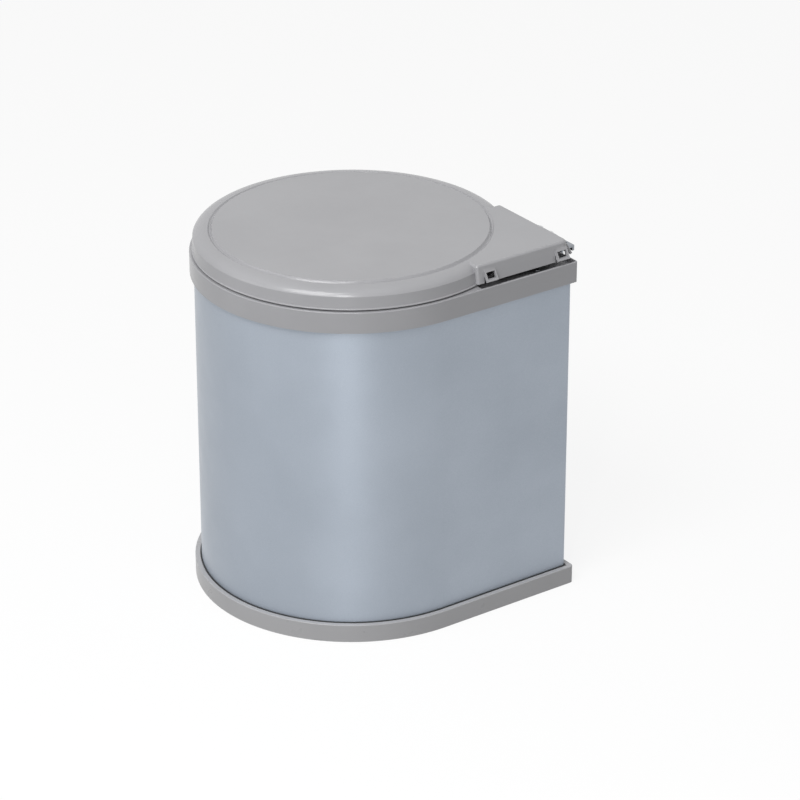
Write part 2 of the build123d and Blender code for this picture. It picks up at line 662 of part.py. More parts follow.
def tail_outline(half, start, height, corner, step_r):
    """Square outline with rounded corners, from the step to the lid's square corner."""
    side = half - start
    square = Pos(half - side / 2, -half + side / 2) * Rectangle(side, side)
    outer_corner = square.vertices().sort_by(lambda v: v.X - v.Y)[-1]
    square = fillet(outer_corner, corner)
    steps = [v for v in square.vertices() if abs(v.X - v.Y - (half + start)) < 0.01]
    return Pos(0, 0, height) * fillet(steps, step_r)


def tail_block(inset, low, high, step_r):
    """The tail's block between two heights, with its sides moved in by the inset."""
    outlines = [
        tail_outline(tail_half(z) - inset, TAIL_START + inset, z, TAIL_CORNER_R - inset, step_r)
        for z in (low, high)
    ]
    return loft(outlines, ruled=True)


def side_profile(points, start, end):
    """Prism over points of distance and height, along the tail's near flat side."""
    face = make_face(Polyline(*[(start, -out, height) for out, height in points], close=True))
    return extrude(face, end - start, dir=(1, 0, 0))


def eye_lines():
    """Outer and inner end points of the leaning strap, as distance from the axis and height."""
    top = Vector(tail_half(EYE_TOP), EYE_TOP)
    out = Vector(EYE_OUT, EYE_FOOT)
    down = (out - top).normalized()
    inward = Vector(down.Y, -down.X) * STRAP
    return top, out, out + inward, top + inward


def add_eyes(cover):
    top, out, low, root = eye_lines()
    strap = [(point.X, point.Y) for point in (top, out, low, root)]
    room_in = tail_half(LID_TOP) - 3 * LID_WALL
    room = [(low.X, low.Y), (root.X, root.Y), (room_in, root.Y), (room_in, TAIL_BOTTOM - 1),
            (low.X, TAIL_BOTTOM - 1)]
    for start, end, window_start, window_end in EYES:
        eye = side_profile(strap, start, end)
        behind = side_profile(room, start, end)
        window = block(window_start, window_end, -EYE_OUT - 1, -room_in, WINDOW_LOW, WINDOW_HIGH)
        for turned in (False, True):
            cover -= mirrored(behind) if turned else behind
            cover += mirrored(eye) if turned else eye
            cover -= mirrored(window) if turned else window
    return cover


def make_lid_cover():
    tail = tail_block(0, TAIL_BOTTOM, LID_TOP, TAIL_STEP_R)
    tail = fillet(tail.edges().group_by(Axis.Z)[-1], TAIL_EDGE_R)
    tail -= disc(GROOVE_R + GROOVE_OUT, TAIL_BOTTOM - 1, LID_TOP + 1)
    cavity = tail_block(LID_WALL, LID_BOTTOM - 1, CEILING, TAIL_INNER_STEP_R)
    cavity -= disc(GROOVE_R + GROOVE_OUT, LID_BOTTOM - 2, LID_TOP)
    cover = lid_round() + tail
    cover -= cavity
    for offset in RIB_OFFSETS:
        rib = block(offset, offset + RIB_THICKNESS, LID_WALL / 2 - TAIL_TOP_HALF, -GROOVE_R + RIB_REACH,
                    RIB_LOW, CEILING + 0.3)
        rib -= disc(GROOVE_R + GROOVE_OUT, RIB_LOW - 1, LID_TOP)
        cover += rib
        cover += mirrored(rib)
    cover = add_eyes(cover)
    for x, y in follower_screw_places():
        cover -= disc(FOLLOWER_SCREW_R, CEILING - 1, LID_TOP - FOLLOWER_HOLE_SKIN, x, y)
    return cover


# Lift follower: a pad on a foot that is screwed under the lid's tail

FOLLOWER_FOOT = 1.6
FOLLOWER_FOOT_SIZE = (6.0, 18.0)
FOLLOWER_FOOT_R = 2.5
FOLLOWER_LEG_SIZE = (4.4, 4.8)
FOLLOWER_TIP_R = 2.2
FOLLOWER_SCREW_R = 1.3
FOLLOWER_SCREW_SPACING = 12.0
FOLLOWER_SCREW_LENGTH = 2.9
FOLLOWER_HEAD_R = 2.2
FOLLOWER_HEAD_HEIGHT = 1.2
FOLLOWER_HOLE_SKIN = 0.7


def follower_frame():
    x, y = about_pivot(FOLLOWER_R, FOLLOWER_ANGLE)
    return Pos(x, y, 0) * Rot(0, 0, FOLLOWER_ANGLE)


def follower_screw_places():
    frame = follower_frame()
    spots = [frame * Pos(0, side * FOLLOWER_SCREW_SPACING / 2, 0) for side in (-1, 1)]
    return [(spot.position.X, spot.position.Y) for spot in spots]


def make_lift_follower():
    foot_x, foot_y = [size / 2 for size in FOLLOWER_FOOT_SIZE]
    leg_x, leg_y = [size / 2 for size in FOLLOWER_LEG_SIZE]
    foot = block(-foot_x, foot_x, -foot_y, foot_y, CEILING - FOLLOWER_FOOT, CEILING)
    foot = fillet(foot.edges().filter_by(Axis.Z), FOLLOWER_FOOT_R)
    leg = block(-leg_x, leg_x, -leg_y, leg_y, FOLLOWER_TIP, CEILING - FOLLOWER_FOOT + 0.2)
    leg = fillet(leg.edges().filter_by(Axis.X).group_by(Axis.Z)[0], FOLLOWER_TIP_R)
    follower = follower_frame() * (foot + leg)
    for x, y in follower_screw_places():
        follower -= disc(FOLLOWER_SCREW_R + 0.1, CEILING - 3, CEILING + 1, x, y)
    return follower


def make_follower_screws():
    screws = [
        small_screw(x, y, CEILING - FOLLOWER_FOOT, True, FOLLOWER_SCREW_LENGTH,
                    FOLLOWER_SCREW_R - 0.03, FOLLOWER_HEAD_R, FOLLOWER_HEAD_HEIGHT)
        for x, y in follower_screw_places()
    ]
    return Compound(children=screws)


save("bracket_plate", make_bracket_plate())
save("pivot_post", make_pivot_post())
save("post_washer", make_post_washer())
save("post_nut", make_post_nut())
save("lid_hinge_rail", make_lid_hinge_rail())
save("rail_rivets", make_rail_rivets())
save("outer_shell", make_outer_shell())
save("top_rim", make_top_rim())
save("base_tray", make_base_tray())
save("upper_bush", make_upper_bush())
save("lower_bush", make_lower_bush())
save("pivot_sleeve", make_pivot_sleeve())
save("lid_lift_cam", make_lid_lift_cam())
save("cam_screws", make_cam_screws())
save("base_screws", make_base_screws())
save("waste_bucket", make_waste_bucket())
save("bail_wire", make_bail_wire())
save("bail_grip", make_bail_grip())
save("lid_cover", make_lid_cover())
save("lift_follower", make_lift_follower())
save("follower_screws", make_follower_screws())
print("lever", round(LEVER, 2), "follower rise", round(FOLLOWER_RISE, 2), "pivot", PX, PY)
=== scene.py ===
# %% [markdown]
# A built-in cabinet bin, dressed round its packed construction.
# The bin is a round sheet-steel shell with one square corner, between a moulded rim and a moulded tray,
# under a moulded lid. It swings out on a post in that corner while the lid stays on a wall bracket.
# The frame holds every solid at its real size, so this file only adds what the eye needs: finishes,
# softer edges on the steel, a crisper lid, small details, a floor, light and a camera.

# %% Load the frame
import math

import bmesh
import bpy
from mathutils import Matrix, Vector


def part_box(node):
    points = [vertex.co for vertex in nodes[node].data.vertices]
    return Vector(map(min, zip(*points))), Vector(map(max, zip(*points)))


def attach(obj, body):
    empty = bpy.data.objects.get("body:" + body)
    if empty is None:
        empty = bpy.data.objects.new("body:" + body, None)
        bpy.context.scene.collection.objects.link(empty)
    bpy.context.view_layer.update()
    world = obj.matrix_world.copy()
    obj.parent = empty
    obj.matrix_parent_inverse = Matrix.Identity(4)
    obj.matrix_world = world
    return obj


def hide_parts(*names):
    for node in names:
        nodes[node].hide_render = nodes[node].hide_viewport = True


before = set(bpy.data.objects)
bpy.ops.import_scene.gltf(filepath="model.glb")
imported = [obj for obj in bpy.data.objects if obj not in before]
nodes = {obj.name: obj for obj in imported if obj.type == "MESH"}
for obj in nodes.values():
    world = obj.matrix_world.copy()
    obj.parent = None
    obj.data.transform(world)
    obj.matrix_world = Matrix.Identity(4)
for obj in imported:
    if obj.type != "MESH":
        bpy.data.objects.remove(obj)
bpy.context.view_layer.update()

MM = 0.001

# %% [markdown]
# The camera looks down on the bin from in front and to its left, from almost three metres
# away through a long lens, so the upright edges stay nearly parallel. Its place is worked out from
# two angles and a distance about a point in the middle of the body, as a photographer would set it.

# %% Camera
VIEW_AZIMUTH = math.radians(-35.48)
VIEW_ELEVATION = math.radians(25.95)
VIEW_DISTANCE = 2.9
VIEW_LENS = 156.0
AIM_HEIGHT = 0.15574
AIM_SIDE = 0.04015

level = Vector((math.cos(VIEW_AZIMUTH), math.sin(VIEW_AZIMUTH), 0))
back = Vector((
    math.sin(VIEW_AZIMUTH) * math.cos(VIEW_ELEVATION),
    -math.cos(VIEW_AZIMUTH) * math.cos(VIEW_ELEVATION),
    math.sin(VIEW_ELEVATION),
))
aim = Vector((0, 0, AIM_HEIGHT)) + AIM_SIDE * level
camera_data = bpy.data.cameras.new("view_camera")
camera_data.lens = VIEW_LENS
camera_data.clip_end = 30
camera = bpy.data.objects.new("view_camera", camera_data)
camera.location = aim + VIEW_DISTANCE * back
camera.rotation_mode = "QUATERNION"
camera.rotation_quaternion = (-back).to_track_quat("-Z", "Y")
bpy.context.scene.collection.objects.link(camera)
bpy.context.scene.camera = camera
bpy.context.scene.view_settings.view_transform = "Standard"
print("camera at", [round(x, 3) for x in camera.location])

# %% [markdown]
# Materials are node trees that read Object coordinates, which here are metres in the bin's own
# frame. A few helpers keep each finish short to write: display colours turned into light values,
# noise at a stated grain size, a colour or a number that wanders between two near values, a sheen that
# is drawn out along one direction, and relief from noise.

# %% Helpers for finishes


def display(red, green, blue):
    """The light value of a colour given as display levels from 0 to 255."""
    levels = [c / 255 for c in (red, green, blue)]
    linear = [c / 12.92 if c <= 0.04045 else ((c + 0.055) / 1.055) ** 2.4 for c in levels]
    return (*linear, 1.0)


class Finish:
    """A node material with one Principled shader, and short ways to feed it."""

    def __init__(self, name):
        self.material = bpy.data.materials.new(name)
        self.material.use_nodes = True
        self.nodes = self.material.node_tree.nodes
        self.links = self.material.node_tree.links
        self.shader = self.nodes["Principled BSDF"]
        self.place = self.nodes.new("ShaderNodeTexCoord").outputs["Object"]

    def set(self, socket, value):
        self.shader.inputs[socket].default_value = value

    def stretched(self, scale):
        """Object coordinates stretched by a factor along each axis."""
        mapping = self.nodes.new("ShaderNodeMapping")
        mapping.inputs["Scale"].default_value = scale
        self.links.new(self.place, mapping.inputs["Vector"])
        return mapping.outputs["Vector"]

    def noise(self, grain, detail=2.0, where=None):
        """Noise whose lumps are about this many metres across."""
        noise = self.nodes.new("ShaderNodeTexNoise")
        noise.inputs["Scale"].default_value = 1 / grain
        noise.inputs["Detail"].default_value = detail
        self.links.new(where or self.place, noise.inputs["Vector"])
        return noise.outputs["Fac"]

    def ramp(self, factor, low, high, start, end):
        """A colour that goes from low to high while the factor goes from start to end."""
        ramp = self.nodes.new("ShaderNodeValToRGB")
        first, last = ramp.color_ramp.elements
        first.position, last.position = start, end
        first.color, last.color = low, high
        self.links.new(factor, ramp.inputs["Fac"])
        return ramp.outputs["Color"]

    def span(self, factor, low, high, start=0.3, end=0.7):
        """A number that goes from low to high while the factor goes from start to end."""
        span = self.nodes.new("ShaderNodeMapRange")
        span.inputs["From Min"].default_value = start
        span.inputs["From Max"].default_value = end
        span.inputs["To Min"].default_value = low
        span.inputs["To Max"].default_value = high
        self.links.new(factor, span.inputs["Value"])
        return span.outputs["Result"]

    def blend(self, factor, first, second, way="MIX"):
        """Two colours mixed by a factor."""
        mix = self.nodes.new("ShaderNodeMix")
        mix.data_type = "RGBA"
        mix.blend_type = way
        colour_inputs = [s for s in mix.inputs if s.type == "RGBA"]
        factor_input = [s for s in mix.inputs if s.type == "VALUE"][0]
        self._feed(factor, factor_input)
        self._feed(first, colour_inputs[0])
        self._feed(second, colour_inputs[1])
        return [s for s in mix.outputs if s.type == "RGBA"][0]

    def _feed(self, value, socket):
        if hasattr(value, "is_output"):
            self.links.new(value, socket)
        else:
            socket.default_value = value

    def colour(self, output):
        self.links.new(output, self.shader.inputs["Base Color"])

    def roughness(self, output):
        self.links.new(output, self.shader.inputs["Roughness"])

    def along(self, x, y, z):
        """Stretches the sheen along this direction, as far as the shader's anisotropy says."""
        way = self.nodes.new("ShaderNodeCombineXYZ")
        for axis, share in zip("XYZ", (x, y, z)):
            way.inputs[axis].default_value = share
        self.links.new(way.outputs["Vector"], self.shader.inputs["Tangent"])

    def relief(self, height, depth):
        """Bump of this depth in metres."""
        bump = self.nodes.new("ShaderNodeBump")
        bump.inputs["Strength"].default_value = 1.0
        bump.inputs["Distance"].default_value = depth
        self.links.new(height, bump.inputs["Height"])
        self.links.new(bump.outputs["Normal"], self.shader.inputs["Normal"])


print("finish helpers ready")

# %% [markdown]
# The shell is thin sheet steel with a baked silver-grey lacquer. Metal flakes in the lacquer give it a
# soft sheen with a bluish cast, and the clear top of the lacquer adds a faint second gloss. A part
# metallic shader with a thin coat gives both. The coil was rolled round the bin's girth, which stretches
# the sheen upright: the shader's anisotropy does that, with its tangent set upright. Two noises, one of
# hand-sized patches and one of flakes a third of a millimetre across, keep the colour from being flat.

# %% Painted sheet steel
PAINT_PATCH = 90 * MM
PAINT_DARK = display(167, 175, 185)
PAINT_PALE = display(173, 181, 191)
FLAKE = 0.35 * MM
FLAKE_DARK = display(238, 240, 243)
FLAKE_PALE = display(255, 255, 255)
SHEEN_PATCH = 20 * MM
ORANGE_PEEL = 1.2 * MM
ORANGE_PEEL_DEPTH = 0.004 * MM
NEARLY_UPRIGHT = (0.03, 0.02, 1.0)


def painted_steel():
    paint = Finish("painted_steel")
    patches = paint.noise(PAINT_PATCH, detail=3.0)
    tone = paint.ramp(patches, PAINT_DARK, PAINT_PALE, 0.35, 0.65)
    flakes = paint.ramp(paint.noise(FLAKE, detail=1.0), FLAKE_DARK, FLAKE_PALE, 0.3, 0.7)
    paint.colour(paint.blend(1.0, tone, flakes, "MULTIPLY"))
    paint.roughness(paint.span(paint.noise(SHEEN_PATCH), 0.42, 0.48))
    paint.relief(paint.noise(ORANGE_PEEL, detail=2.0), ORANGE_PEEL_DEPTH)
    paint.along(*NEARLY_UPRIGHT)
    paint.set("Anisotropic", 0.5)
    paint.set("Metallic", 0.66)
    paint.set("Coat Weight", 0.25)
    paint.set("Coat Roughness", 0.22)
    return paint.material


# %% [markdown]
# Rim, lid and tray are injection mouldings in one neutral grey plastic. Moulds for such parts are often
# spark-eroded, which leaves a very fine grain that dulls the gloss without hiding it. So the roughness
# is middling, and a grain of half a millimetre is bumped in by two or three thousandths of a millimetre.

# %% Moulded plastic
PLASTIC_PATCH = 60 * MM
TONE_SPREAD = 2
GLOSS_PATCH = 15 * MM
GLOSS_SPREAD = 0.03
GRAIN = 0.5 * MM
GRAIN_DEPTH = 0.0025 * MM
FINE_GRAIN_DEPTH = 0.002 * MM


def moulded_plastic(name, level, gloss_roughness, grain_depth=GRAIN_DEPTH):
    plastic = Finish(name)
    patches = plastic.noise(PLASTIC_PATCH, detail=3.0)
    low = display(*[c - TONE_SPREAD for c in level])
    high = display(*[c + TONE_SPREAD for c in level])
    plastic.colour(plastic.ramp(patches, low, high, 0.35, 0.65))
    sheen = plastic.noise(GLOSS_PATCH)
    sheen = plastic.span(sheen, gloss_roughness - GLOSS_SPREAD, gloss_roughness + GLOSS_SPREAD)
    plastic.roughness(sheen)
    plastic.relief(plastic.noise(GRAIN, detail=3.0), grain_depth)
    return plastic.material


# %% [markdown]
# The bracket is zinc-plated sheet. Plating grows in small crystals, so its colour is broken into
# pale and dark flecks with a hint of blue, and rolling leaves faint lines along the sheet. The pins,
# screws and the wire are brighter, with a finer surface. The frame's slots get their finishes here, and
# three nodes get finishes of their own.

# %% Plated steel
STREAK = 0.8 * MM
STREAK_DEPTH = 0.004 * MM
ROLLED = (1, 1, 0.06)
DRAWN = (1, 1, 0.3)


def plated_steel(name, dark, pale, crystal, roughness, lines):
    """Metal with crystals of this size, and streaks stretched along an axis by a small factor."""
    steel = Finish(name)
    cells = steel.nodes.new("ShaderNodeTexVoronoi")
    cells.inputs["Scale"].default_value = 1 / crystal
    steel.links.new(steel.place, cells.inputs["Vector"])
    steel.colour(steel.ramp(cells.outputs["Color"], display(*dark), display(*pale), 0.1, 0.9))
    streaks = steel.noise(STREAK, detail=2.0, where=steel.stretched(lines))
    steel.roughness(steel.span(streaks, *roughness))
    steel.relief(streaks, STREAK_DEPTH)
    steel.set("Metallic", 1.0)
    return steel.material


ZINC = ((142, 146, 152), (160, 163, 168), 1.1 * MM, (0.32, 0.44), ROLLED)
BRIGHT = ((182, 183, 186), (212, 212, 214), 1.2 * MM, (0.18, 0.30), DRAWN)
# Painted shade: a dark plating, used on the cam's screws, that stands for the shadow under the lid's
# tail.
SCREW_PAINTED_SHADE = ((92, 94, 98), (116, 118, 122), 1.2 * MM, (0.26, 0.38), DRAWN)
FINISHES = {
    "painted_shell": painted_steel(),
    "grey_moulding": moulded_plastic("grey_moulding_skin", (164, 164, 167), 0.23),
    "bucket_moulding": moulded_plastic("bucket_skin", (126, 128, 130), 0.45),
    "sleeve_moulding": moulded_plastic("sleeve_skin", (74, 76, 78), 0.5),
    "grip_moulding": moulded_plastic("grip_skin", (152, 152, 154), 0.42),
    "white_bearing": moulded_plastic("bearing_skin", (226, 226, 220), 0.28, FINE_GRAIN_DEPTH),
    "zinc_steel": plated_steel("zinc_skin", *ZINC),
    "bright_steel": plated_steel("bright_skin", *BRIGHT),
}
OWN_FINISHES = {
    # Painted light: the tray is made paler to stand for light bounced up from the floor onto it.
    "base_tray": moulded_plastic("tray_painted_bounce_light", (173, 173, 175), 0.30),
    # Painted shade: the cam and its screws are made dark to stand for the shadow in the gap under the
    # lid's tail.
    "lid_lift_cam": moulded_plastic("cam_painted_shade", (78, 80, 82), 0.35),
    "cam_screws": plated_steel("screw_painted_shade", *SCREW_PAINTED_SHADE),
}
print("finishes", sorted(FINISHES))

# %% [markdown]
# Every solid of the frame names its material slot, so one loop dresses them all. The tray is painted
# paler than the other mouldings, as painted light that stands for light bounced up from the floor, and
# the cam and its screws are painted dark, as painted shade in the gap under the lid's tail.

# %% Dress the frame's own nodes
for name, node in nodes.items():
    slot = node.data.materials[0].name.split(".")[0]
    node.data.materials[0] = OWN_FINISHES.get(name, FINISHES[slot])
print("dressed", len(nodes), "nodes")

# %% [markdown]
# Details that repeat are grown by Geometry Nodes. Each tree states how one kind of detail repeats, has
# named inputs for its sizes, and ends by making its instances real and setting their finish. The
# result is taken as a plain mesh that rides on one body, and the modifier is removed.

# %% Trees that repeat a detail


class Rule:
    """A Geometry Nodes tree with named inputs that says how one kind of detail repeats."""

    def __init__(self, name, **sizes):
        self.tree = bpy.data.node_groups.new(name, "GeometryNodeTree")
        self.sockets = self.tree.interface
        self.sockets.new_socket("detail", in_out="OUTPUT", socket_type="NodeSocketGeometry")
        self.sockets.new_socket("path", in_out="INPUT", socket_type="NodeSocketGeometry")
        for label, value in sizes.items():
            kind = "NodeSocketInt" if isinstance(value, int) else "NodeSocketFloat"
            self.sockets.new_socket(label, in_out="INPUT", socket_type=kind).default_value = value
        self.sockets.new_socket("finish", in_out="INPUT", socket_type="NodeSocketMaterial")
        self.size = self.tree.nodes.new("NodeGroupInput").outputs
        self.end = self.tree.nodes.new("NodeGroupOutput").inputs["detail"]

    def node(self, kind, feeds, **settings):
        """Adds a node with its settings, and feeds its sockets with outputs or plain values."""
        node = self.tree.nodes.new(kind)
        for setting, value in settings.items():
            setattr(node, setting, value)
        for socket, value in feeds.items():
            if hasattr(value, "is_output"):
                self.tree.links.new(value, node.inputs[socket])
            else:
                node.inputs[socket].default_value = value
        return node.outputs

    def line(self, factor, slope, start):
        """factor times slope plus start."""
        feeds = {0: factor, 1: slope, 2: start}
        return self.node("ShaderNodeMath", feeds, operation="MULTIPLY_ADD")[0]

    def point(self, x, y, z):
        return self.node("ShaderNodeCombineXYZ", {0: x, 1: y, 2: z})[0]

    def close(self, detail, smooth):
        """Ends the tree: real instances, flat or smooth shading, and the finish."""
        real = self.node("GeometryNodeRealizeInstances", {"Geometry": detail})[0]
        shaded = self.node("GeometryNodeSetShadeSmooth", {"Geometry": real, "Shade Smooth": smooth})[0]
        finish = {"Geometry": shaded, "Material": self.size["finish"]}
        self.tree.links.new(self.node("GeometryNodeSetMaterial", finish)[0], self.end)


def grow(name, rule, body, slot, finish=None, path=None, **sizes):
    """The rule's result as one plain mesh that rides on a body."""
    seed = bpy.data.objects.new(name + "_seed", path or bpy.data.meshes.new(name + "_seed"))
    bpy.context.scene.collection.objects.link(seed)
    growth = seed.modifiers.new("growth", "NODES")
    growth.node_group = rule.tree
    values = {"finish": finish or FINISHES[slot], **sizes}
    for item in rule.sockets.items_tree:
        if item.in_out == "INPUT" and item.name != "path":
            growth[item.identifier] = values.get(item.name, getattr(item, "default_value", None))
    graph = bpy.context.evaluated_depsgraph_get()
    mesh = bpy.data.meshes.new_from_object(seed.evaluated_get(graph), depsgraph=graph)
    seed.modifiers.remove(growth)
    bpy.data.objects.remove(seed)
    mesh.name = name
    piece = bpy.data.objects.new(name, mesh)
    bpy.context.scene.collection.objects.link(piece)
    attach(piece, body)
    heights = [v.co.z / MM for v in mesh.vertices]
    low, high = round(min(heights), 2), round(max(heights), 2)
    print(name, "faces", len(mesh.polygons), "from", low, "to", high, "mm up")


# %% [markdown]
# A thin flat moulding would warp, so such a lid has a web of low ribs underneath: spokes from a hub to
# the edge, and rings that tie them. A spoke is one slim bar that is tilted to follow the domed ceiling
# and repeated on a circle. The rings are circles of growing radius with one rectangular section swept
# round them, so every ring has the same wall. The bucket's floor is stiffened by rings as well.

# %% Spokes and rings


def spoke_rule():
    rule = Rule("spokes", count=12, reach=0.08, middle=0.06, wall=0.0014, depth=0.003, height=0.31,
                tilt=0.0)
    size = rule.size
    bar_size = rule.point(size["reach"], size["wall"], size["depth"])
    bar = rule.node("GeometryNodeMeshCube", {"Size": bar_size, "Vertices X": 12})["Mesh"]
    place = {
        "Geometry": bar,
        "Translation": rule.point(0.0, 0.0, size["height"]),
        "Rotation": rule.point(0.0, size["tilt"], 0.0),
    }
    bar = rule.node("GeometryNodeTransform", place)[0]
    circle = {"Vertices": size["count"], "Radius": size["middle"]}
    circle = rule.node("GeometryNodeMeshCircle", circle)[0]
    step = rule.node("ShaderNodeMath", {0: math.tau, 1: size["count"]}, operation="DIVIDE")[0]
    turn = rule.line(rule.node("GeometryNodeInputIndex", {})[0], step, 0.0)
    spokes = {"Points": circle, "Instance": bar, "Rotation": rule.point(0.0, 0.0, turn)}
    rule.close(rule.node("GeometryNodeInstanceOnPoints", spokes)[0], False)
    return rule


def ring_rule():
    rule = Rule("rings", count=3, first=0.02, step=0.03, wall=0.0014, depth=0.003, height=0.31,
                drop=0.0)
    size = rule.size
    index = rule.node("GeometryNodeInputIndex", {})[0]
    radius = rule.line(index, size["step"], size["first"])
    start = rule.point(0.0, 0.0, size["height"])
    fall = rule.point(0.0, 0.0, size["drop"])
    stack = {"Count": size["count"], "Start Location": start, "Offset": fall}
    stack = rule.node("GeometryNodeMeshLine", stack)[0]
    circle = rule.node("GeometryNodeCurvePrimitiveCircle", {"Resolution": 96, "Radius": 1.0})[0]
    spread = {"Points": stack, "Instance": circle, "Scale": rule.point(radius, radius, 1.0)}
    circles = rule.node("GeometryNodeInstanceOnPoints", spread)[0]
    circles = rule.node("GeometryNodeRealizeInstances", {"Geometry": circles})[0]
    upright = rule.node("GeometryNodeSetCurveNormal", {"Curve": circles}, mode="Z_UP")[0]
    section = {"Width": size["wall"], "Height": size["depth"]}
    section = rule.node("GeometryNodeCurvePrimitiveQuadrilateral", section)[0]
    swept = rule.node("GeometryNodeCurveToMesh", {"Curve": upright, "Profile Curve": section})[0]
    rule.close(swept, False)
    return rule


SPOKES = spoke_rule()
RINGS = ring_rule()

# %% [markdown]
# The lid's ceiling falls from the middle to the edge. Each rib's top is sunk half a millimetre into it,
# so that nothing floats, and the spokes tilt by the ceiling's slope.

# %% Ribs under the lid and in the bucket
CEILING_MIDDLE = 314.2 * MM
CEILING_EDGE = 311.3 * MM
CEILING_RADIUS = 115 * MM
RIB_DEPTH = 3.4 * MM
RIB_WALL = 1.4 * MM
SUNK = 0.5 * MM
SPOKE_COUNT = 12
SPOKE_IN = 20 * MM
SPOKE_OUT = 106 * MM
LID_RING_COUNT = 4
LID_RING_STEP = 28 * MM
BUCKET_FLOOR_TOP = 14.6 * MM
BUCKET_RING_COUNT = 4
BUCKET_RING_FIRST = 12 * MM
BUCKET_RING_STEP = 22 * MM
BUCKET_RING_WALL = 1.6 * MM
RING_PROUD = 0.8 * MM
slope = (CEILING_MIDDLE - CEILING_EDGE) / CEILING_RADIUS


def under_ceiling(radius):
    """Height of a rib's middle, whose top is sunk a little into the lid's ceiling."""
    return CEILING_MIDDLE - slope * radius + SUNK - RIB_DEPTH / 2


spoke_middle = (SPOKE_IN + SPOKE_OUT) / 2
grow("lid_spokes", SPOKES, "lid", "grey_moulding", count=SPOKE_COUNT, reach=SPOKE_OUT - SPOKE_IN,
     middle=spoke_middle, wall=RIB_WALL, depth=RIB_DEPTH, height=under_ceiling(spoke_middle),
     tilt=math.atan(slope))
grow("lid_rings", RINGS, "lid", "grey_moulding", count=LID_RING_COUNT, first=SPOKE_IN,
     step=LID_RING_STEP, wall=RIB_WALL, depth=RIB_DEPTH, height=under_ceiling(SPOKE_IN),
     drop=-slope * LID_RING_STEP)
grow("bucket_floor_rings", RINGS, "inner_bucket", "bucket_moulding", count=BUCKET_RING_COUNT,
     first=BUCKET_RING_FIRST, step=BUCKET_RING_STEP, wall=BUCKET_RING_WALL, depth=2 * RING_PROUD,
     height=BUCKET_FLOOR_TOP, drop=0.0)

# %% [markdown]
# The bail's grip is a tube with fine finger ribs. They follow the bail's arc, so an arc is cut into
# points, and a small ring is placed on each, turned so that its axis runs along the arc. The ribs stand
# only a fifth of a millimetre proud, because the grip rests that close above the bucket's flange.

# %% Ribs of the grip
BOW_RADIUS = 113.8 * MM
GRIP_RIB_COUNT = 15
GRIP_RIB_RADIUS = 4.4 * MM
GRIP_RIB_WIRE = 0.58 * MM
GRIP_START = math.radians(70)
GRIP_SWEEP = math.radians(40)


def grip_rule():
    rule = Rule("grip_ribs", count=15, bow=0.1138, grip=0.0044, wire=0.0006, height=0.28, start=1.2,
                sweep=0.6)
    size = rule.size
    arc = {
        "Resolution": 64,
        "Radius": size["bow"],
        "Start Angle": size["start"],
        "Sweep Angle": size["sweep"],
    }
    arc = rule.node("GeometryNodeCurveArc", arc, mode="RADIUS")[0]
    lifted = {"Geometry": arc, "Translation": rule.point(0.0, 0.0, size["height"])}
    lifted = rule.node("GeometryNodeTransform", lifted)[0]
    stations = rule.node("GeometryNodeCurveToPoints", {"Curve": lifted, "Count": size["count"]})
    turned = {"Vector": stations["Tangent"]}
    turned = rule.node("FunctionNodeAlignRotationToVector", turned, axis="Z")[0]
    hoop = {"Resolution": 48, "Radius": size["grip"]}
    hoop = rule.node("GeometryNodeCurvePrimitiveCircle", hoop)[0]
    section = {"Resolution": 10, "Radius": size["wire"]}
    section = rule.node("GeometryNodeCurvePrimitiveCircle", section)[0]
    rib = rule.node("GeometryNodeCurveToMesh", {"Curve": hoop, "Profile Curve": section})[0]
    ribs = {"Points": stations["Points"], "Instance": rib, "Rotation": turned}
    rule.close(rule.node("GeometryNodeInstanceOnPoints", ribs)[0], True)
    return rule


grip_low, grip_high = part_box("bail_grip")
grow("grip_ribs", grip_rule(), "bucket_bail", "grip_moulding", count=GRIP_RIB_COUNT, bow=BOW_RADIUS,
     grip=GRIP_RIB_RADIUS, wire=GRIP_RIB_WIRE, height=(grip_low[2] + grip_high[2]) / 2,
     start=GRIP_START, sweep=GRIP_SWEEP)

# %% [markdown]
# The shell is one sheet, bent round and closed by a lock seam inside, opposite the square corner. In
# such a seam a row of press points holds the sheet, and each shows outside as a very low dome. One
# flattened ball, half sunk in the sheet, is repeated up a line of points.

# %% Press points of the seam
SEAM_ANGLE = math.radians(135)
SEAM_RADIUS = 129 * MM
PRESS_COUNT = 12
PRESS_LOW = 30 * MM
PRESS_STEP = 20 * MM
PRESS_BALL = 2.1 * MM
PRESS_FLATTENING = 0.14


def press_rule():
    rule = Rule("press_points", count=12, out=0.129, turn=2.356, low=0.03, step=0.02, ball=0.0021,
                flat=0.14)
    size = rule.size
    ball = {"Segments": 20, "Rings": 12, "Radius": size["ball"]}
    ball = rule.node("GeometryNodeMeshUVSphere", ball)["Mesh"]
    turned = rule.point(0.0, 0.0, size["turn"])
    flattened = {"Geometry": ball, "Scale": rule.point(size["flat"], 1.0, 1.0), "Rotation": turned}
    flattened = rule.node("GeometryNodeTransform", flattened)[0]
    x = rule.node("ShaderNodeMath", {0: size["turn"]}, operation="COSINE")[0]
    y = rule.node("ShaderNodeMath", {0: size["turn"]}, operation="SINE")[0]
    foot = rule.point(rule.line(x, size["out"], 0.0), rule.line(y, size["out"], 0.0), size["low"])
    rise = rule.point(0.0, 0.0, size["step"])
    line = {"Count": size["count"], "Start Location": foot, "Offset": rise}
    line = rule.node("GeometryNodeMeshLine", line)[0]
    domes = {"Points": line, "Instance": flattened}
    rule.close(rule.node("GeometryNodeInstanceOnPoints", domes)[0], True)
    return rule


grow("seam_press_points", press_rule(), "bin_body", "painted_shell", count=PRESS_COUNT, out=SEAM_RADIUS,
     turn=SEAM_ANGLE, low=PRESS_LOW, step=PRESS_STEP, ball=PRESS_BALL, flat=PRESS_FLATTENING)
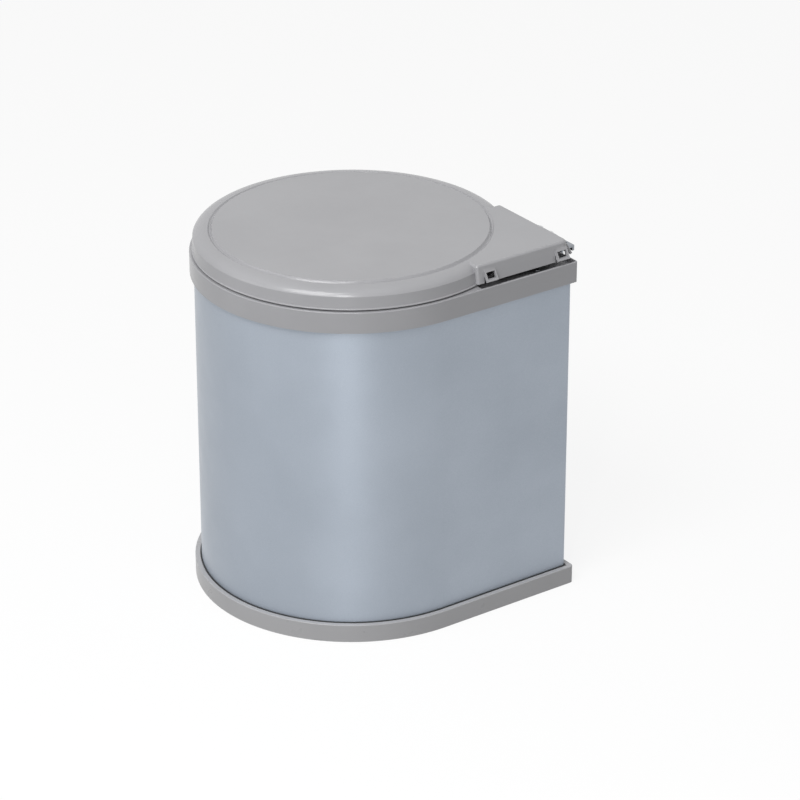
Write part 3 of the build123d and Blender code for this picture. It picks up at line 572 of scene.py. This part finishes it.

# %% [markdown]
# A thin dark strip runs all round the foot of the shell, in the gap between sheet and tray. It is
# painted
# shade: a dark piece that stands for the shadow in that gap. It follows the bin's plan, a circle with
# one square corner, so the plan is drawn as a closed curve and a tree sweeps a small round section along
# it.

# %% Painted shade strip at the shell's foot
LIP_HEIGHT = 15.5 * MM
GAP_SHADE_RADIUS = 0.62 * MM
GAP_SHADE_OUT = 0.5 * MM
GAP_SHADE_CORNER = 3.5 * MM
ROUND_ANGLES = range(0, 271, 2)
CORNER_ANGLES = range(270, 361, 15)


def plan_curve(name, radius, corner, height):
    """Closed curve on the bin's plan: three quarters of a circle and one square corner."""
    points = [(math.radians(a), 0.0, 0.0, radius) for a in ROUND_ANGLES]
    middle = radius - corner
    points += [(math.radians(a), middle, -middle, corner) for a in CORNER_ANGLES]
    curve = bpy.data.curves.new(name, "CURVE")
    curve.dimensions = "3D"
    line = curve.splines.new("POLY")
    line.points.add(len(points) - 1)
    for point, (angle, x, y, reach) in zip(line.points, points):
        point.co = (x + reach * math.cos(angle), y + reach * math.sin(angle), height, 1.0)
    line.use_cyclic_u = True
    return curve


def gap_shade_rule():
    rule = Rule("seal", thickness=0.0006)
    section = {"Resolution": 12, "Radius": rule.size["thickness"]}
    section = rule.node("GeometryNodeCurvePrimitiveCircle", section)[0]
    swept = {"Curve": rule.size["path"], "Profile Curve": section}
    rule.close(rule.node("GeometryNodeCurveToMesh", swept)[0], True)
    return rule


shell_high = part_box("outer_shell")[1]
gap_shade_path = plan_curve("gap_shade_path", shell_high[0] + GAP_SHADE_OUT, GAP_SHADE_CORNER, LIP_HEIGHT)
# Painted shade: a dark strip that stands for the shadow in the gap between shell and tray.
grow("foot_gap_painted_shade", gap_shade_rule(), "bin_body", "sleeve_moulding", thickness=GAP_SHADE_RADIUS, path=gap_shade_path,
     finish=moulded_plastic("gap_painted_shade_skin", (34, 35, 37), 0.6))

# %% [markdown]
# Sheet steel that is cut and bent has edges with a small radius, which catch the light. The bracket and
# the hinge rail are merged copies of the frame's solids with a narrow bevel, which is what the eye sees
# of such a radius. Weighted normals keep the wide faces flat in the shading.

# %% Softened steel edges
MERGE = 0.002 * MM
FLAT_ANGLE = math.radians(0.2)
BEVEL_ANGLE = math.radians(50)
BEVEL_SEGMENTS = 2
PLATE_EDGE = 0.25 * MM
RAIL_EDGE = 0.22 * MM


def merged_copy(node_name, name, flat_angle=0.0):
    """A copy of a frame mesh with its loose triangles joined, and flat ones made one face."""
    piece = bpy.data.objects.new(name, nodes[node_name].data.copy())
    piece.data.name = name
    bpy.context.scene.collection.objects.link(piece)
    mesh = bmesh.new()
    mesh.from_mesh(piece.data)
    bmesh.ops.remove_doubles(mesh, verts=mesh.verts, dist=MERGE)
    if flat_angle:
        bmesh.ops.dissolve_limit(mesh, angle_limit=flat_angle, verts=mesh.verts, edges=mesh.edges)
    mesh.to_mesh(piece.data)
    mesh.free()
    if "custom_normal" in piece.data.attributes:
        piece.data.attributes.remove(piece.data.attributes["custom_normal"])
    piece.data.shade_smooth()
    return piece


def even_normals(piece):
    """Weighted normals, which shade wide faces flat beside narrow ones."""
    piece.modifiers.new("even_normals", "WEIGHTED_NORMAL").keep_sharp = True


def softened(node_name, name, body, width):
    """A merged copy with a narrow bevel, which stands for the frame's node."""
    piece = merged_copy(node_name, name, FLAT_ANGLE)
    bevel = piece.modifiers.new("edge_radius", "BEVEL")
    bevel.width = width
    bevel.segments = BEVEL_SEGMENTS
    bevel.limit_method = "ANGLE"
    bevel.angle_limit = BEVEL_ANGLE
    even_normals(piece)
    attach(piece, body)
    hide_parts(node_name)
    print(name, "softened by", round(width / MM, 2), "mm")


softened("bracket_plate", "bracket_sheet", "wall_bracket", PLATE_EDGE)
softened("lid_hinge_rail", "hinge_rail_sheet", "wall_bracket", RAIL_EDGE)

# %% [markdown]
# The lid is where the eye goes first. The photo shows its groove a little deeper and its skirt a little
# more upright than the frame's lid has them, its panel's edge a little higher and its shoulder rounder,
# all by less than two millimetres. So a merged copy of the frame's lid stands for it here, and its
# vertices are moved by rules in the distance from the axis: the panel's edge goes up, the groove goes
# down, and the shoulder and skirt go out, least where they meet their neighbours. The tail keeps its
# shape. Edges over a set angle stay crisp, and weighted normals keep the wide panel calm.

# %% Lid cover
# These sizes are millimetres from the lid's axis or above the floor, and TAIL_SECTOR is in degrees.
GROOVE_MIDDLE = 115.2
GROOVE_HALF = 1.8
GROOVE_EXTRA = 0.4
PANEL_EDGE = 113.4
PANEL_RAISE = 0.6
PANEL_FALL = 1.6
OUTSIDE_ABOVE = 314.3
SHOULDER_START = 118.0
SHOULDER_END = 128.6
SHOULDER_BULGE = 1.1
SKIRT_TOP = 308.2
SKIRT_FOOT = 298.5
SKIRT_OUT = 0.9
SKIRT_INSIDE = 128.2
INNER_BEND = 122.2
INNER_SLOPE = 0.857
INNER_TOP = CEILING_EDGE / MM
WALL_MARGIN = 1.0
EDGE_MARGIN = 0.1
TAIL_SECTOR = (-75.5, -14.5)
CRISP_ANGLE = math.radians(24)


def eased(share):
    """Nought to one with a soft start and end."""
    share = min(max(share, 0.0), 1.0)
    return share * share * (3 - 2 * share)


def regraded(x, y, z):
    """The new place of a lid vertex, in millimetres."""
    reach = math.hypot(x, y)
    angle = math.degrees(math.atan2(y, x))
    if z > OUTSIDE_ABOVE and reach <= PANEL_EDGE:
        z += PANEL_RAISE * (reach / PANEL_EDGE) ** 2
    elif z > INNER_TOP + WALL_MARGIN and abs(reach - GROOVE_MIDDLE) < GROOVE_HALF:
        z += PANEL_RAISE * max(0.0, 1 - (reach - PANEL_EDGE) / PANEL_FALL)
        z -= GROOVE_EXTRA * eased(1 - abs(reach - GROOVE_MIDDLE) / GROOVE_HALF)
    if TAIL_SECTOR[0] < angle < TAIL_SECTOR[1] or z < SKIRT_FOOT:
        return x, y, z
    below_shoulder = z < SKIRT_TOP - EDGE_MARGIN
    inside_top = INNER_TOP - INNER_SLOPE * max(0.0, reach - INNER_BEND)
    out = 0.0
    if below_shoulder and reach > SKIRT_INSIDE:
        out = SKIRT_OUT * (z - SKIRT_FOOT) / (SKIRT_TOP - SKIRT_FOOT)
    elif not below_shoulder and z > inside_top + WALL_MARGIN:
        share = min(max((reach - SHOULDER_START) / (SHOULDER_END - SHOULDER_START), 0.0), 1.0)
        out = SKIRT_OUT * eased(share) + SHOULDER_BULGE * math.sin(math.pi * share)
    stretch = (reach + out) / reach if reach else 1.0
    return x * stretch, y * stretch, z


lid_skin = merged_copy("lid_cover", "lid_skin")
for vertex in lid_skin.data.vertices:
    vertex.co = [c * MM for c in regraded(*[c / MM for c in vertex.co])]
lid_skin.data.set_sharp_from_angle(angle=CRISP_ANGLE)
even_normals(lid_skin)
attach(lid_skin, "lid")
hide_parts("lid_cover")
print("lid vertices", len(lid_skin.data.vertices))

# %% [markdown]
# The floor is a wide pale disc that meets a white world. A part of its brightness is its own, but only
# for what the camera sees and for what glossy surfaces mirror, so the ground is clean white and still
# keeps a faint shadow. Light that bounces off it onto the bin is held back, as dark cloths beside a
# photographer's table would do it, because the bin's upright sides must stay darker than its lid. The
# disc lies a fifth of a millimetre below the tray, so that the two don't flicker in each other.

# %% Floor
FLOOR_RADIUS = 9.0
FLOOR_GLOW = 0.86
FLOOR_DROP = 0.2 * MM
FLOOR_SEEN = 1.0
FLOOR_BOUNCE = 0.18
FLOOR_SIDES = 128

bpy.ops.mesh.primitive_circle_add(
    vertices=FLOOR_SIDES, radius=FLOOR_RADIUS, fill_type="NGON", location=(0, 0, -FLOOR_DROP))
floor = bpy.context.object
floor.name = "floor"


def seen_or_mirrored(tree):
    """One for camera and glossy rays, nought for the rays that carry bounced light."""
    path = tree.nodes.new("ShaderNodeLightPath")
    either = tree.nodes.new("ShaderNodeMath")
    either.operation = "MAXIMUM"
    tree.links.new(path.outputs["Is Camera Ray"], either.inputs[0])
    tree.links.new(path.outputs["Is Glossy Ray"], either.inputs[1])
    return either.outputs[0]


def floor_finish():
    """Pale paint that glows where it is seen, and holds back the light it would bounce."""
    material = bpy.data.materials.new("floor_paint")
    material.use_nodes = True
    tree = material.node_tree
    tree.nodes.clear()
    output = tree.nodes.new("ShaderNodeOutputMaterial")
    paint = tree.nodes.new("ShaderNodeBsdfDiffuse")
    glow = tree.nodes.new("ShaderNodeEmission")
    mixed = tree.nodes.new("ShaderNodeMixShader")
    seen = seen_or_mirrored(tree)
    tone = tree.nodes.new("ShaderNodeMapRange")
    tone.inputs["To Min"].default_value = FLOOR_BOUNCE
    tone.inputs["To Max"].default_value = FLOOR_SEEN
    share = tree.nodes.new("ShaderNodeMath")
    share.operation = "MULTIPLY"
    share.inputs[1].default_value = FLOOR_GLOW
    tree.links.new(seen, tone.inputs["Value"])
    tree.links.new(tone.outputs["Result"], paint.inputs["Color"])
    tree.links.new(seen, share.inputs[0])
    tree.links.new(share.outputs[0], mixed.inputs["Fac"])
    tree.links.new(paint.outputs[0], mixed.inputs[1])
    tree.links.new(glow.outputs[0], mixed.inputs[2])
    tree.links.new(mixed.outputs[0], output.inputs["Surface"])
    return material


floor.data.materials.append(floor_finish())

# %% [markdown]
# The light is a softbox high on the left, which lights the lid, a small lamp above the camera, which
# draws the bright line along the lid's shoulder, a low strip in front, which draws the soft upright
# sheen on the shell, and a weak fill from the left. The white world fills the rest.

# %% Light
WORLD_STRENGTH = 0.42


def studio_world():
    """A white world that is full where it is seen, and weaker as a light."""
    world = bpy.data.worlds.new("studio_world")
    world.use_nodes = True
    tree = world.node_tree
    tree.nodes.clear()
    output = tree.nodes.new("ShaderNodeOutputWorld")
    lit = tree.nodes.new("ShaderNodeBackground")
    lit.inputs["Strength"].default_value = WORLD_STRENGTH
    seen = tree.nodes.new("ShaderNodeBackground")
    seen.inputs["Strength"].default_value = 1.0
    for shade in (lit, seen):
        shade.inputs["Color"].default_value = (1, 1, 1, 1)
    mix = tree.nodes.new("ShaderNodeMixShader")
    tree.links.new(seen_or_mirrored(tree), mix.inputs["Fac"])
    tree.links.new(lit.outputs[0], mix.inputs[1])
    tree.links.new(seen.outputs[0], mix.inputs[2])
    tree.links.new(mix.outputs[0], output.inputs["Surface"])
    return world


bpy.context.scene.world = studio_world()


def soft_lamp(name, azimuth, elevation, distance, width, height, power):
    """A rectangular area lamp that looks at the middle of the bin."""
    a = math.radians(azimuth)
    e = math.radians(elevation)
    way = Vector((math.sin(a) * math.cos(e), -math.cos(a) * math.cos(e), math.sin(e)))
    data = bpy.data.lights.new(name, "AREA")
    data.shape = "RECTANGLE"
    data.size = width
    data.size_y = height
    data.energy = power
    lamp = bpy.data.objects.new(name, data)
    lamp.location = Vector((0, 0, AIM_HEIGHT)) + distance * way
    lamp.rotation_mode = "QUATERNION"
    lamp.rotation_quaternion = (-way).to_track_quat("-Z", "Y")
    bpy.context.scene.collection.objects.link(lamp)


soft_lamp("key_softbox", azimuth=-69, elevation=54, distance=2.4, width=1.1, height=1.1, power=29.5)
soft_lamp("shoulder_lamp", azimuth=-40, elevation=42, distance=2.0, width=0.13, height=0.22, power=3.6)
soft_lamp("front_strip", azimuth=-37, elevation=6.5, distance=1.6, width=0.30, height=0.25, power=3.8)
soft_lamp("left_fill", azimuth=-110, elevation=20, distance=2.4, width=1.2, height=1.6, power=4.5)
